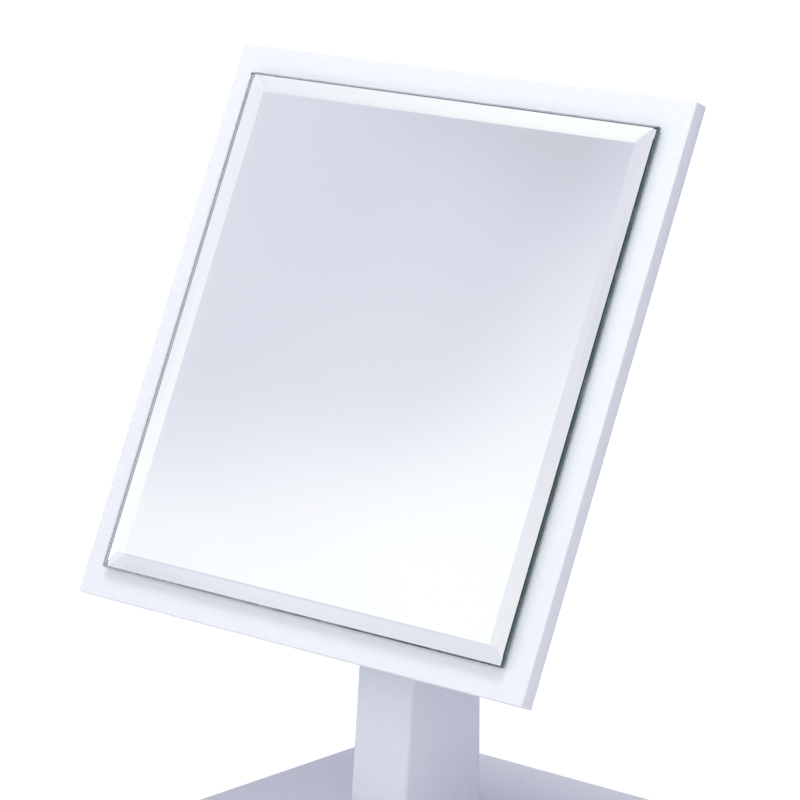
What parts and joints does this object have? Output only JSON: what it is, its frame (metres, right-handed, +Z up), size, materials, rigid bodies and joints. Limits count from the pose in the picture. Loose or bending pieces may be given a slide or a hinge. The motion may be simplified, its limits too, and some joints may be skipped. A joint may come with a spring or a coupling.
{
  "type": "vanity mirror with drawer",
  "caption": "Square bevelled table mirror in a flat covered frame, tilting on a raked square post above a square base box with one knobbed drawer.",
  "frame": {"origin": "the middle of the base's underside, on the surface that it stands on", "axes": "+X to the right as seen by the user, +Y to the back, +Z up"},
  "size_m": [0.254, 0.1855, 0.3842],
  "materials": {
    "white_leatherette": "fine-grained white leatherette, satin",
    "fibreboard": "raw medium-density fibreboard",
    "grey_felt": "pressed felt",
    "lining_suede": "flocked suede paper",
    "tray_velvet": "short-pile velvet",
    "polished_chrome": "polished chrome",
    "zinc_plated_steel": "bright zinc plate",
    "satin_steel": "satin nickel plate on pressed steel",
    "satin_cast_metal": "satin nickel plate on cast zinc alloy",
    "white_nylon": "natural nylon",
    "foam_tape": "double-sided foam tape",
    "mirror_glass": "bevelled clear glass, silvered on its back"
  },
  "bodies": {
    "base": {"base_felt": "grey_felt", "base_left_side": "fibreboard", "base_right_side": "fibreboard", "base_back_board": "fibreboard", "base_bottom_board": "fibreboard", "base_top_board": "fibreboard", "casing_wrap": "white_leatherette", "top_wrap": "white_leatherette", "casing_floor_lining": "lining_suede", "drawer_bumpers": "grey_felt", "post_core": "fibreboard", "post_wrap": "white_leatherette", "post_screws": "zinc_plated_steel", "post_bracket": "satin_steel", "post_bracket_screws": "zinc_plated_steel", "pivot_bolt": "zinc_plated_steel", "friction_washers": "white_nylon", "steel_washers": "zinc_plated_steel", "lock_nut": "zinc_plated_steel"},
    "drawer": {"drawer_front_board": "fibreboard", "drawer_front_wrap": "white_leatherette", "drawer_left_side": "fibreboard", "drawer_right_side": "fibreboard", "drawer_back_board": "fibreboard", "drawer_bottom_board": "fibreboard", "drawer_floor_lining": "tray_velvet", "drawer_wall_lining": "tray_velvet", "drawer_knob": "polished_chrome", "knob_screw": "zinc_plated_steel"},
    "mirror_head": {"mirror_bracket": "satin_cast_metal", "mirror_bracket_screws": "zinc_plated_steel", "frame_board": "fibreboard", "frame_wrap": "white_leatherette", "back_cover": "white_leatherette", "mirror_glass": "mirror_glass", "mirror_tape": "foam_tape"}
  },
  "joints": [
    {"name": "mirror_tilt", "type": "hinge", "parent": "base", "child": "mirror_head", "pos_m": [0, 0.008, 0.2536], "axis": [-1, 0, 0], "range_deg": [-25, 35]},
    {"name": "drawer_slide", "type": "slide", "parent": "base", "child": "drawer", "axis": [0, -1, 0], "range_m": [0, 0.11]}
  ]
}
